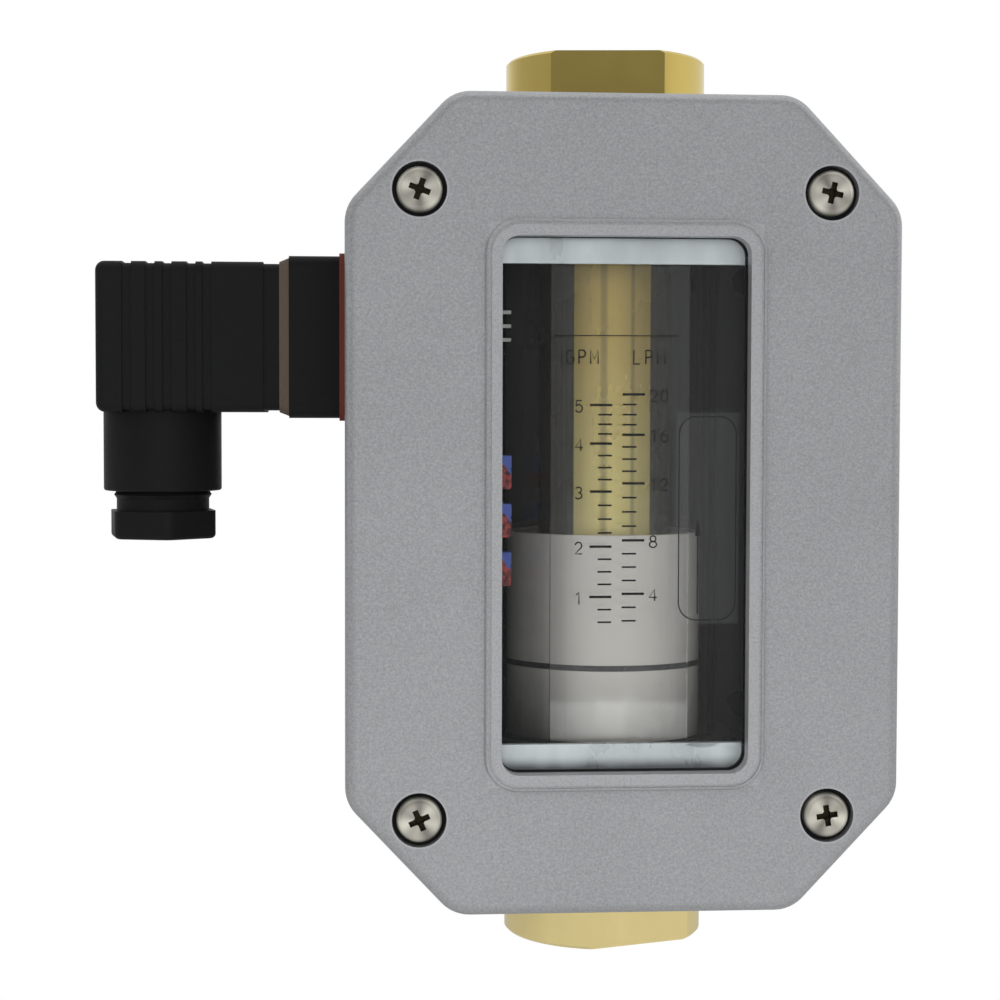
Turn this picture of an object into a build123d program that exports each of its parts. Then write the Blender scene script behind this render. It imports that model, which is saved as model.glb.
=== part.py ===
"""In-line flow transmitter with a sight window, a magnetic piston meter and a plug connector.

Millimetres, +Z up along the flow. The origin is the centre of the inlet port's face, the window
faces -Y and the electrical connector leaves towards -X.
"""
from build123d import *
import os

# Brass meter body
overall_length = 167.6
bar_dia = 38.1
bar_flats = 31.75
flats_length = 9.0
outlet_flats_turn = -5.3
inlet_flats_turn = 18.9
port_radius = 9.3
port_depth = 18.0
barrel_dia = 25.4
barrel_bore = 20.4
lower_bar_length = 27.0
outlet_fitting_length = 24.1
barrel_engagement = 7.5
body_seal_inset = 2.4
body_seal_section = 1.6
edge_break = 0.5

# Enclosure
enclosure_width = 100.2
port_stand_out = 10.2
corner_cut_x = 19.3
corner_cut_z = 20.5
corner_radius = 7.0
front_from_axis = 33.0
back_from_axis = 41.0
cover_depth = 9.7
cover_wall = 2.5
housing_wall = 3.0
housing_back_wall = 3.5
front_edge_radius = 2.0
back_edge_radius = 3.0
gasket_thickness = 0.8
gasket_inset = 0.4

# Window in the cover
window_width = 44.5
window_end_margin = 25.5
window_corner = 3.2
bezel_band = 3.0
bezel_height = 0.8
bezel_groove_inset = 0.6
bezel_groove_width = 0.5
bezel_groove_depth = 0.3
pane_thickness = 1.5
pane_overlap = 2.2
window_gasket_depth = 3.1
window_gasket_overlap = 3.8
retainer_thickness = 1.5
retainer_width = 63.0
retainer_overlap_z = 4.4
retainer_opening_width = 49.0
retainer_lip_z = 4.55
retainer_screw_x = 29.4
retainer_screw_inset_z = 2.1
retainer_screw_dia = 3.0

# Cover screws, number 8 pan heads
screw_inset_x = 13.2
screw_inset_z = 17.55
screw_head_dia = 8.18
screw_head_height = 2.5
screw_shank_dia = 4.1
screw_length = 20.0
screw_turns = [20.0, 13.0, -24.0, -8.0]
counterbore_dia = 9.8
counterbore_depth = 3.0
screw_seal_thickness = 0.8
boss_radius = 6.5
cross_span = 3.9
cross_arm = 1.05
cross_depth = 1.3

# Sight tube and what it stands in
tube_dia = 44.45
tube_wall = 3.175
tube_socket_depth = 5.0
seat_dia = 50.0
upper_seat_height = 11.2
strip_width = 25.4
strip_thickness = 1.5
strip_gap = 0.7
seat_front_wall = 0.6
seat_side_wall = 1.55
tube_seal_thickness = 1.0
port_seal_width = 1.9
port_seal_proud = 0.5

# Moving indicator on the barrel
indicator_bottom = 39.2
indicator_top = 77.8
indicator_travel = 50.8
indicator_dia = 37.3
indicator_bore_gap = 0.3
sleeve_wall = 1.15
line_bottom = 52.5
line_height = 1.1
magnet_height = 8.0
magnet_wall = 2.6

# Piston, cone and spring inside the barrel
piston_length = 32.0
piston_gap = 0.08
piston_wall = 2.4
orifice_radius = 5.2
orifice_plate = 2.0
cone_root_radius = 5.0
cone_tip_radius = 2.2
spider_thickness = 4.0
spider_hub_radius = 3.4
spider_rim = 2.0
spider_arm = 1.8
spider_arms = 3
outlet_spider_depth = 16.0
retaining_ring_thickness = 1.0
retaining_ring_depth = 0.6
spring_wire = 1.2
spring_coils = 10
spring_radius = 7.9
spring_stop_gap = 0.05

# Electronics carrier and boards
carrier_plate = 2.5
carrier_side_gap = 9.1
carrier_end_gap = 1.5
carrier_front = 27.0
carrier_shelf = 4.0
carrier_corner_gap = 1.0
carrier_post_radius = 4.0
carrier_post_inset_x = 5.5
carrier_post_z = 44.0
carrier_screw_dia = 3.0
board_thickness = 1.6
sensor_board_width = 18.0
sensor_board_inset_z = 2.1
sensor_count = 6
sensor_size = 5.0
sensor_thickness = 1.6
transmitter_board_width = 20.5
transmitter_board_inset_z = 12.1
transmitter_board_overhang = 7.5
transmitter_board_front = -14.0
board_post_radius = 2.6
board_screw_dia = 2.0
board_screw_length = 8.0
board_screw_inset_z = 6.0
trimmer_width = 9.5
trimmer_depth = 4.8
trimmer_height = 6.2
trimmer_pitch = 8.95
trimmer_drop = 3.3
trimmer_right = -19.4
trimmer_cap = 2.8
header_pitch = 2.54
header_pin = 0.64
header_depth = 4.0
header_edge_gap = 1.0
header_pin_height = 2.5
header_rise = 32.7
header_right = -19.4

# Electrical connector on the side wall
connector_rise = 30.6
wall_gasket_size = 31.0
wall_gasket_thickness = 1.0
base_size = 30.0
base_length = 9.3
plug_gasket_thickness = 1.8
plug_size = 27.9
plug_length = 33.8
plug_wall = 2.2
plug_skirt_length = 3.0
plug_skirt_step = 0.35
plug_edge_radius = 2.4
plug_rib_starts = [4.9, 9.2, 12.3, 16.7, 19.6]
plug_rib_width = 1.7
plug_rib_depth = 0.35
spigot_radius = 8.6
spigot_gap = 0.4
blade_width = 6.3
blade_thickness = 0.8
blade_offset = 9.0
blade_spread = 0.7
blade_reach = 12.0
blade_tail = 1.2
wire_radius = 0.7
wire_bend = 1.5
terminal_drop = 13.4
terminal_pitch = 5.0
terminal_width = 7.0
terminal_depth = 5.0
terminal_hole_dia = 2.6
terminal_floor = 2.0
plug_screw_dia = 3.0
plug_screw_head_dia = 6.0
plug_screw_head_height = 2.4
base_screw_spread = 23.0
base_screw_dia = 3.0

# Cable gland under the plug
neck_dia = 22.3
neck_length = 14.9
gland_thread_radius = 9.3
gland_thread_gap = 0.05
gland_pitch = 1.41
gland_thread_depth = 0.5
gland_thread_turns = 4
gland_relief_length = 2.3
gland_hex = 19.05
gland_hex_height = 5.3
gland_hex_turn = 40.5
gland_corner_radius = 2.6
gland_edge_radius = 0.9
gland_open_gap = 3.8
cable_bore_radius = 5.25
grommet_bore_radius = 4.0
grommet_length = 8.0
gland_washer_thickness = 1.0

# Running and assembly clearances
slip = 0.05
seat_gap = 0.3

# Places that follow from the sizes above
centre_z = overall_length / 2
enclosure_height = overall_length - 2 * port_stand_out
window_height = enclosure_height - 2 * window_end_margin
connector_height = centre_z + connector_rise
trimmer_middle = centre_z - trimmer_drop
header_middle = centre_z + header_rise
face_y = -front_from_axis
back_y = back_from_axis
bezel_y = face_y - bezel_height
cover_back_y = face_y + cover_depth
housing_front_y = cover_back_y + gasket_thickness
cover_inner_y = face_y + cover_wall
retainer_front_y = cover_inner_y + window_gasket_depth
pane_back_y = cover_inner_y + (window_gasket_depth + pane_thickness) / 2
enclosure_bottom = centre_z - enclosure_height / 2
enclosure_top = centre_z + enclosure_height / 2
enclosure_left = -enclosure_width / 2
housing_floor_y = back_y - housing_back_wall
bar_radius = bar_dia / 2
barrel_radius = barrel_dia / 2
bore_radius = barrel_bore / 2
fitting_bottom = overall_length - outlet_fitting_length
barrel_top = fitting_bottom + barrel_engagement
port_seal_radius = bar_radius + port_seal_width
tube_radius = tube_dia / 2
tube_bore_radius = tube_radius - tube_wall
strip_front_y = -tube_radius - strip_gap - strip_thickness
seat_radius = seat_dia / 2
lower_seat_top = indicator_bottom - seat_gap
upper_seat_bottom = fitting_bottom - upper_seat_height
indicator_radius = indicator_dia / 2
indicator_bore = barrel_radius + indicator_bore_gap
magnet_top = line_bottom
magnet_bottom = magnet_top - magnet_height
core_radius = indicator_radius - sleeve_wall
carrier_width = enclosure_width - 2 * (housing_wall + carrier_side_gap)
transmitter_board_left = -carrier_width / 2 - transmitter_board_overhang
sensor_board_height = window_height - 2 * sensor_board_inset_z
transmitter_board_height = window_height - 2 * transmitter_board_inset_z
retainer_height = window_height + 2 * retainer_overlap_z
retainer_opening_height = window_height - 2 * retainer_lip_z
retainer_screw_z = window_height / 2 - retainer_screw_inset_z
screw_places = [
    (sx * (enclosure_width / 2 - screw_inset_x), centre_z + sz * (enclosure_height / 2 - screw_inset_z))
    for sz in (1, -1)
    for sx in (-1, 1)
]


def slab(outline, y_back, y_front):
    """Extrude an outline drawn in x and z from one y plane forward to another."""
    plane = Plane(origin=(0, y_back, 0), x_dir=(1, 0, 0), z_dir=(0, -1, 0))
    return extrude(plane * outline, y_back - y_front)


def rod(radius, z0, z1, x=0.0, y=0.0):
    """Upright cylinder between two heights."""
    return Pos(x, y, (z0 + z1) / 2) * Cylinder(radius, z1 - z0)


def ring(outer, inner, z0, z1, x=0.0, y=0.0):
    """Upright tube between two heights."""
    return rod(outer, z0, z1, x, y) - rod(inner, z0, z1, x, y)


def rod_y(radius, y0, y1, x, z):
    """Cylinder along y."""
    return Pos(x, (y0 + y1) / 2, z) * Rot(90, 0, 0) * Cylinder(radius, abs(y1 - y0))


def rod_x(radius, x0, x1, y, z):
    """Cylinder along x."""
    return Pos((x0 + x1) / 2, y, z) * Rot(0, 90, 0) * Cylinder(radius, abs(x1 - x0))


def block(x0, x1, y0, y1, z0, z1):
    """Box between two corners."""
    return Pos((x0 + x1) / 2, (y0 + y1) / 2, (z0 + z1) / 2) * Box(x1 - x0, y1 - y0, z1 - z0)


def save(name, solids):
    """Write one node, which may be one solid or a group of separate solids."""
    group = solids if isinstance(solids, list) else [solids]
    flat = [s for item in group for s in item.solids()]
    part = flat[0] if len(flat) == 1 else Compound(children=flat)
    part.label = name
    export_step(part, "parts/" + name + ".step")


def enclosure_outline(inset=0.0):
    """Eight-sided outline with rounded corners, drawn in x and z."""
    half_w, half_h = enclosure_width / 2, enclosure_height / 2
    corners = []
    for sx, sz in ((1, 1), (-1, 1), (-1, -1), (1, -1)):
        side = (sx * half_w, sz * (half_h - corner_cut_z))
        top = (sx * (half_w - corner_cut_x), sz * half_h)
        corners += [side, top] if sx == sz else [top, side]
    shape = Polygon(*corners, align=None)
    shape = fillet(shape.vertices(), corner_radius)
    if inset:
        shape = offset(shape, amount=-inset)
    return Pos(0, centre_z) * shape


def window_outline(grow, corner):
    """Rounded rectangle that follows the window opening, larger by grow on each side."""
    return Pos(0, centre_z) * RectangleRounded(
        window_width + 2 * grow, window_height + 2 * grow, corner
    )


def cross_recess(x, y, z, turn):
    """Cross recess that enters a screw head from the front, towards +Y."""
    arms = Rectangle(cross_span, cross_arm) + Rectangle(cross_arm, cross_span)
    arms += Circle(cross_span * 0.24)
    cut = slab(Rot(0, 0, -turn) * arms, cross_depth, -0.5)
    return Pos(x, y, z) * (cut + rod_y(cross_arm * 0.8, 0, cross_depth + 0.7, 0, 0))


def pan_head(diameter, height, y_seat, x, z, turn):
    """Domed screw head that stands forward of its seat, with a cross recess."""
    head = rod_y(diameter / 2, y_seat - height, y_seat, x, z)
    rim = head.edges().filter_by(GeomType.CIRCLE).sort_by(Axis.Y)[0]
    head = fillet(rim, height * 0.48)
    return head - cross_recess(x, y_seat - height, z, turn)


def make_front_cover():
    cover = slab(enclosure_outline(), cover_back_y, face_y)
    cover = fillet(cover.faces().sort_by(Axis.Y)[0].edges(), front_edge_radius)
    bezel_corner = window_corner + bezel_band
    bezel = slab(window_outline(bezel_band, bezel_corner), cover_inner_y, bezel_y)
    bezel = fillet(bezel.faces().sort_by(Axis.Y)[0].edges(), bezel_height * 0.6)
    cover += bezel
    cover -= slab(enclosure_outline(housing_wall), cover_back_y, cover_inner_y)
    for x, z in screw_places:
        boss = slab(Pos(x, z) * Circle(boss_radius), cover_back_y, cover_inner_y)
        cover += boss & slab(enclosure_outline(housing_wall / 2), cover_back_y, cover_inner_y)
    for x, z in screw_places:
        seat_y = face_y + counterbore_depth
        cover -= rod_y(counterbore_dia / 2, face_y - 1, seat_y, x, z)
        cover -= rod_y(screw_shank_dia / 2 + 0.2, face_y, cover_back_y + 1, x, z)
    for sx in (-1, 1):
        for sz in (-1, 1):
            x, z = sx * retainer_screw_x, centre_z + sz * retainer_screw_z
            cover += rod_y(3.0, cover_inner_y, retainer_front_y, x, z)
            cover -= rod_y(retainer_screw_dia / 2, cover_inner_y, cover_back_y, x, z)
    cover -= slab(window_outline(0, window_corner), cover_back_y, bezel_y - 1)
    outer = window_outline(bezel_band - bezel_groove_inset, bezel_corner - bezel_groove_inset)
    inner_inset = bezel_groove_inset + bezel_groove_width
    inner = window_outline(bezel_band - inner_inset, bezel_corner - inner_inset)
    cover -= slab(outer - inner, bezel_y + bezel_groove_depth, bezel_y - 1)
    return cover


def make_rear_housing():
    housing = slab(enclosure_outline(), back_y, housing_front_y)
    housing = fillet(housing.faces().sort_by(Axis.Y)[-1].edges(), back_edge_radius)
    housing -= slab(enclosure_outline(housing_wall), housing_floor_y, housing_front_y)
    for x, z in screw_places:
        post = slab(Pos(x, z) * Circle(boss_radius), housing_floor_y + 1, housing_front_y)
        housing += post & slab(enclosure_outline(housing_wall / 2), back_y, housing_front_y)
    for x, z in screw_places:
        tip_y = face_y + counterbore_depth + screw_length
        housing -= rod_y(screw_shank_dia / 2 + slip, housing_front_y - 1, tip_y + 1, x, z)
    for x, z in carrier_post_places():
        housing += rod_y(carrier_post_radius, carrier_front + carrier_plate, housing_floor_y + 1, x, z)
        housing -= rod_y(carrier_screw_dia / 2 + slip, carrier_front, housing_floor_y - 1, x, z)
    hole = port_seal_radius + slip
    housing -= rod(hole, enclosure_bottom - 1, enclosure_bottom + housing_wall + 1)
    housing -= rod(hole, enclosure_top - housing_wall - 1, enclosure_top + 1)
    inner_x = enclosure_left + housing_wall + 1
    housing -= rod_x(spigot_radius + spigot_gap, enclosure_left - 1, inner_x, 0, connector_height)
    for y, z in base_screw_places():
        housing -= rod_x(base_screw_dia / 2 + slip, enclosure_left - 1, inner_x, y, z)
    return housing


def make_cover_gasket():
    outline = enclosure_outline(gasket_inset) - enclosure_outline(housing_wall)
    return slab(outline, housing_front_y, cover_back_y)


def make_cover_screws():
    seat_y = face_y + counterbore_depth
    head_seat_y = seat_y - screw_seal_thickness
    screws, seals = [], []
    for (x, z), turn in zip(screw_places, screw_turns):
        head = pan_head(screw_head_dia, screw_head_height, head_seat_y, x, z, turn)
        shank = rod_y(screw_shank_dia / 2, head_seat_y, seat_y + screw_length, x, z)
        screws.append(head + shank)
        seal = rod_y(counterbore_dia / 2 - slip, head_seat_y, seat_y, x, z)
        seals.append(seal - rod_y(screw_shank_dia / 2 + slip, head_seat_y, seat_y, x, z))
    return screws, seals


def make_window_parts():
    pane_corner = window_corner + pane_overlap
    pane = slab(window_outline(pane_overlap, pane_corner), pane_back_y, pane_back_y - pane_thickness)
    gasket_corner = window_corner + window_gasket_overlap
    rim = window_outline(window_gasket_overlap, gasket_corner) - window_outline(0, window_corner)
    groove = window_outline(pane_overlap + slip, pane_corner + slip)
    gasket = slab(rim, retainer_front_y, cover_inner_y)
    gasket -= slab(groove, pane_back_y, pane_back_y - pane_thickness)
    plate = Rectangle(retainer_width, retainer_height)
    plate = fillet(plate.vertices(), window_corner)
    plate -= RectangleRounded(retainer_opening_width, retainer_opening_height, 1.0)
    retainer_back_y = retainer_front_y + retainer_thickness
    retainer = slab(Pos(0, centre_z) * plate, retainer_back_y, retainer_front_y)
    screws = []
    for sx in (-1, 1):
        for sz in (-1, 1):
            x, z = sx * retainer_screw_x, centre_z + sz * retainer_screw_z
            radius = retainer_screw_dia / 2
            retainer -= rod_y(radius + slip, retainer_front_y - 1, retainer_back_y + 1, x, z)
            shank = rod_y(radius - slip, cover_inner_y + 0.5, retainer_back_y, x, z)
            head = rod_y(radius * 1.8, retainer_back_y, retainer_back_y + 1.8, x, z)
            screws.append(shank + head)
    return pane, gasket, retainer, screws


def flats_cut(turn, z0, z1):
    """The two slabs of metal milled away to leave wrench flats."""
    half = bar_flats / 2
    cut = block(-bar_dia, bar_dia, half, bar_dia, z0, z1)
    cut += block(-bar_dia, bar_dia, -bar_dia, -half, z0, z1)
    return Rot(0, 0, turn) * cut


def spider_groove(z):
    return rod(bore_radius + retaining_ring_depth, z, z + retaining_ring_thickness + slip)


def make_flow_body():
    bar = rod(bar_radius, 0, lower_bar_length)
    bar = chamfer(bar.edges().filter_by(GeomType.CIRCLE).sort_by(Axis.Z)[0], edge_break)
    body = bar + rod(barrel_radius, lower_bar_length, barrel_top)
    body -= flats_cut(inlet_flats_turn, -1, flats_length)
    body -= rod(port_radius, -1, port_depth + 1)
    body -= rod(bore_radius, port_depth, barrel_top + 1)
    body -= spider_groove(inlet_ring_z)
    return body - spider_groove(outlet_ring_z)


def make_outlet_fitting():
    fitting = rod(bar_radius, fitting_bottom, overall_length)
    fitting = chamfer(fitting.edges().filter_by(GeomType.CIRCLE), edge_break)
    fitting -= flats_cut(outlet_flats_turn, overall_length - flats_length, overall_length + 1)
    fitting -= rod(barrel_radius + slip, fitting_bottom - 1, barrel_top + slip)
    fitting -= rod(port_radius, barrel_top, overall_length + 1)
    half = body_seal_section / 2 + 2 * slip
    return fitting - rod(barrel_radius + 2 * half, body_seal_z - half, body_seal_z + half)


def make_seats():
    """Black rings around the barrel that hold the ends of the sight tube and of the clear strip."""
    z_low, z_high = lower_seat_top, upper_seat_bottom
    half = strip_width / 2 + seat_side_wall
    front = strip_front_y - seat_front_wall
    lower = rod(seat_radius, lower_bar_length, z_low)
    lower += block(-half, half, front, 0, lower_bar_length, z_low)
    upper = rod(seat_radius, z_high, fitting_bottom)
    upper += block(-half, half, front, 0, z_high, fitting_bottom)
    socket = ring(tube_radius + slip, tube_bore_radius - slip, 0, tube_socket_depth + tube_seal_thickness)
    half = strip_width / 2 + slip
    back = strip_front_y + strip_thickness + slip
    socket_low = z_low - tube_socket_depth
    lower -= Pos(0, 0, socket_low - tube_seal_thickness) * socket
    lower -= block(-half, half, strip_front_y - slip, back, socket_low, z_low)
    upper -= Pos(0, 0, z_high) * socket
    upper -= block(-half, half, strip_front_y - slip, back, z_high, z_high + tube_socket_depth)
    bore = rod(barrel_radius + slip, 0, overall_length)
    return lower - bore, upper - bore


def make_sight_parts():
    z0 = lower_seat_top - tube_socket_depth
    z1 = upper_seat_bottom + tube_socket_depth
    tube = ring(tube_radius, tube_bore_radius, z0, z1)
    seals = [
        ring(tube_radius, tube_bore_radius, z0 - tube_seal_thickness, z0),
        ring(tube_radius, tube_bore_radius, z1, z1 + tube_seal_thickness),
    ]
    half = strip_width / 2
    strip = block(-half, half, strip_front_y, strip_front_y + strip_thickness, z0, z1)
    return tube, seals, strip


def make_indicator():
    line_top = line_bottom + line_height
    magnet_inner = indicator_bore + 1.2
    core = ring(core_radius, indicator_bore, indicator_bottom, indicator_top - 0.4)
    pocket = ring(magnet_inner + magnet_wall, magnet_inner, magnet_bottom, magnet_top)
    core -= pocket
    lower = ring(indicator_radius, core_radius, indicator_bottom, line_bottom)
    upper = ring(indicator_radius, core_radius, line_top, indicator_top)
    line = ring(indicator_radius, core_radius, line_bottom, line_top)
    return core, lower, upper, line, pocket


def make_piston():
    """Flow piston with its sharp-edged orifice, a ring magnet and the cap that holds it."""
    radius = bore_radius - piston_gap
    top = piston_bottom + piston_length
    neck = radius - piston_wall / 2 - 0.3
    body = rod(radius, piston_bottom, magnet_bottom) + rod(neck, magnet_bottom, top)
    body -= rod(orifice_radius, piston_bottom - 1, top + 1)
    body -= rod(neck - piston_wall / 2, piston_bottom + orifice_plate, top - spring_wire * 1.5)
    body -= Pos(0, 0, piston_bottom + orifice_plate / 2) * Cone(
        orifice_radius + orifice_plate, orifice_radius, orifice_plate
    )
    magnet = ring(radius - slip, neck + slip, magnet_bottom, magnet_top)
    cap = ring(radius, neck + slip, magnet_top, top)
    return body, magnet, cap


def make_cone():
    """Tapered shaft on the axis, thick where the piston rests and thin at full flow."""
    thick_top = piston_bottom + orifice_plate
    taper_top = thick_top + indicator_travel
    thin_top = outlet_spider_z + spider_thickness
    cone = rod(cone_root_radius, inlet_spider_z + spider_thickness, thick_top)
    taper = Cone(cone_root_radius, cone_tip_radius, taper_top - thick_top)
    cone += Pos(0, 0, (thick_top + taper_top) / 2) * taper
    cone += rod(cone_tip_radius, taper_top, thin_top)
    return cone + rod(cone_tip_radius, inlet_spider_z, inlet_spider_z + spider_thickness)


def make_spider(z):
    z1 = z + spider_thickness
    outer = bore_radius - slip
    spider = ring(outer, outer - spider_rim, z, z1) + rod(spider_hub_radius, z, z1)
    for k in range(spider_arms):
        arm = block(0, outer - spider_rim / 2, -spider_arm / 2, spider_arm / 2, z, z1)
        spider += Rot(0, 0, 90 + 360 * k / spider_arms) * arm
    return spider - rod(cone_tip_radius + slip, z, z1)


def make_retaining_ring(z):
    outer = bore_radius + retaining_ring_depth - slip
    clip = ring(outer, bore_radius - 1.2, z + slip / 2, z + slip / 2 + retaining_ring_thickness)
    return clip - block(-1.5, 1.5, 0, outer + 1, z - 1, z + 3)


def make_spring():
    """Helical return spring between the piston and the outlet spider."""
    z0 = piston_bottom + piston_length + spring_wire / 2 + spring_stop_gap
    z1 = outlet_spider_z - spring_wire / 2 - spring_stop_gap
    path = Pos(0, 0, z0) * Helix((z1 - z0) / spring_coils, z1 - z0, spring_radius)
    section = Plane(origin=path @ 0, z_dir=path % 0) * Circle(spring_wire / 2)
    return sweep(section, path=path)


def carrier_post_places():
    x = carrier_width / 2 - carrier_post_inset_x
    return [(sx * x, centre_z + sz * carrier_post_z) for sx in (-1, 1) for sz in (-1, 1)]


def make_carrier():
    """Black moulded chassis behind the sight tube, cradling both seats."""
    back = carrier_front + carrier_plate
    left, right = -carrier_width / 2, carrier_width / 2
    z0, z1 = lower_bar_length + carrier_end_gap, fitting_bottom - carrier_end_gap
    chassis = block(left, right, carrier_front, back, z0, z1)
    board_back = transmitter_board_front + board_thickness
    chassis += block(left, left + carrier_plate, board_back, back, z0, z1)
    chassis += block(right - carrier_plate, right, 0, back, z0, z1)
    for z in (z0, z1 - carrier_shelf):
        chassis += block(left, right, 0, back, z, z + carrier_shelf)
    chassis -= rod(seat_radius + slip, z0 - 1, z1 + 1)
    post_x = left + board_post_radius
    for z in transmitter_screw_heights():
        chassis += rod_y(board_post_radius, board_back, carrier_front, post_x, z)
        hole_end = board_back + board_screw_length + 1.0
        chassis -= rod_y(board_screw_dia / 2 + slip, board_back - 1, hole_end, post_x, z)
    for x, z in carrier_post_places():
        chassis -= rod_y(carrier_screw_dia / 2 + slip, carrier_front - 1, back + 1, x, z)
    for x, z in screw_places:
        chassis -= rod_y(boss_radius + carrier_corner_gap, transmitter_board_front, back + 1, x, z)
    return chassis


def make_carrier_screws():
    screws = []
    for x, z in carrier_post_places():
        tip_y = (carrier_front + carrier_plate + housing_floor_y) / 2
        shank = rod_y(carrier_screw_dia / 2, carrier_front, tip_y, x, z)
        head_height = carrier_screw_dia * 0.65
        head = rod_y(carrier_screw_dia * 0.9, carrier_front - head_height, carrier_front, x, z)
        screws.append(head + shank)
    return screws


def transmitter_screw_heights():
    return [centre_z + s * (transmitter_board_height / 2 - board_screw_inset_z) for s in (-1, 1)]


def make_boards():
    half_h = sensor_board_height / 2
    board_front = carrier_front - board_thickness
    sensor_board = block(
        -sensor_board_width / 2, sensor_board_width / 2, board_front, carrier_front,
        centre_z - half_h, centre_z + half_h,
    )
    step = sensor_board_height / (sensor_count + 1)
    half = sensor_size / 2
    chips = []
    for k in range(sensor_count):
        z = centre_z - half_h + step * (k + 1)
        chips.append(
            block(-half, half, board_front - sensor_thickness, board_front, z - half, z + half)
        )
    left = transmitter_board_left
    back = transmitter_board_front + board_thickness
    half_h = transmitter_board_height / 2
    board = block(
        left, left + transmitter_board_width, transmitter_board_front, back,
        centre_z - half_h, centre_z + half_h,
    )
    screws = []
    for z in transmitter_screw_heights():
        x = -carrier_width / 2 + board_post_radius
        board -= rod_y(board_screw_dia / 2 + 2 * slip, transmitter_board_front - 1, back + 1, x, z)
        shank = rod_y(board_screw_dia / 2, transmitter_board_front, back + board_screw_length, x, z)
        head_y = transmitter_board_front - board_screw_dia * 0.75
        screws.append(shank + rod_y(board_screw_dia, head_y, transmitter_board_front, x, z))
    return sensor_board, chips, board, screws


def make_trimmers():
    """Three multi-turn trimmers whose adjusting ends carry a drop of red sealing lacquer."""
    bodies, caps = [], []
    front = transmitter_board_front - trimmer_depth
    left = trimmer_right - trimmer_width
    for k in (-1, 0, 1):
        z0 = trimmer_middle + k * trimmer_pitch - trimmer_height / 2
        body = block(left, trimmer_right, front, transmitter_board_front, z0, z0 + trimmer_height)
        cap = block(
            trimmer_right - trimmer_cap, trimmer_right, front, transmitter_board_front,
            z0, z0 + trimmer_height * 0.62,
        )
        bodies.append(body - cap)
        cap = fillet(cap.edges().filter_by(Axis.Y).group_by(Axis.X)[-1], 0.6)
        caps.append(cap)
    return bodies, caps


def make_header():
    front = transmitter_board_front
    y_pin = front - header_pin_height
    right = transmitter_board_left + transmitter_board_width - header_edge_gap
    half = header_pitch * 1.5
    strip = block(right - header_pitch, right, front - header_depth, front, header_middle - half, header_middle + half)
    pins = []
    for k in (-1, 0, 1):
        z = header_middle + k * header_pitch
        h = header_pin / 2
        pin = block(right, header_right, y_pin - h, y_pin + h, z - h, z + h)
        pins.append(pin)
    return strip, pins


def terminal_heights():
    return [connector_height - terminal_drop - k * terminal_pitch for k in range(3)]


def make_terminal_block():
    """Three-way wire terminal on the back of the transmitter board."""
    left = transmitter_board_left
    back = transmitter_board_front + board_thickness
    heights = terminal_heights()
    margin = terminal_pitch / 2
    front = back + terminal_depth
    body = block(left, left + terminal_width, back, front, heights[-1] - margin, heights[0] + margin)
    for z in heights:
        hole = terminal_hole_dia / 2
        body -= rod_y(hole, back + terminal_floor, front + 1, left + terminal_width / 2, z)
    return body


def make_connector_wires():
    """Three short leads from the connector's tags down to the terminal block."""
    x_tag = enclosure_left + housing_wall + blade_tail
    x_run = transmitter_board_left + terminal_width / 2
    y_end = transmitter_board_front + board_thickness + terminal_floor + 2 * slip
    tags = sorted(blade_places()[:3], key=lambda place: place[0])
    wires = []
    for (y, z, _), z_end in zip(tags, terminal_heights()):
        y_tag, z_tag = y * blade_spread, connector_height + z * blade_spread
        path = FilletPolyline(
            (x_tag, y_tag, z_tag), (x_run, y_tag, z_tag), (x_run, y_tag, z_end), (x_run, y_end, z_end),
            radius=wire_bend,
        )
        section = Plane(origin=path @ 0, z_dir=path % 0) * Circle(wire_radius)
        wires.append(sweep(section, path=path))
    return wires


def base_screw_places():
    h = base_screw_spread / 2
    return [(sy * h, connector_height + sz * h) for sy in (-1, 1) for sz in (-1, 1)]


def side_slab(outline, x_right, x_left):
    """Extrude an outline drawn in y and z from one x plane leftwards to another."""
    plane = Plane(origin=(x_right, 0, connector_height), x_dir=(0, -1, 0), z_dir=(-1, 0, 0))
    return extrude(plane * outline, x_right - x_left)


def square(size, corner):
    return RectangleRounded(size, size, corner)


def blade_places():
    """Contact centres around the plug screw and whether each lies flat."""
    far = blade_offset
    return [(0, -far, True), (far, 0, False), (-far, 0, False), (0, far, True)]


def blade_section(y, z, lies_flat, gap=0.0):
    wide, thin = blade_width + 2 * gap, blade_thickness + 2 * gap
    size = (wide, thin) if lies_flat else (thin, wide)
    return Pos(-y, z) * Rectangle(*size)


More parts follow.
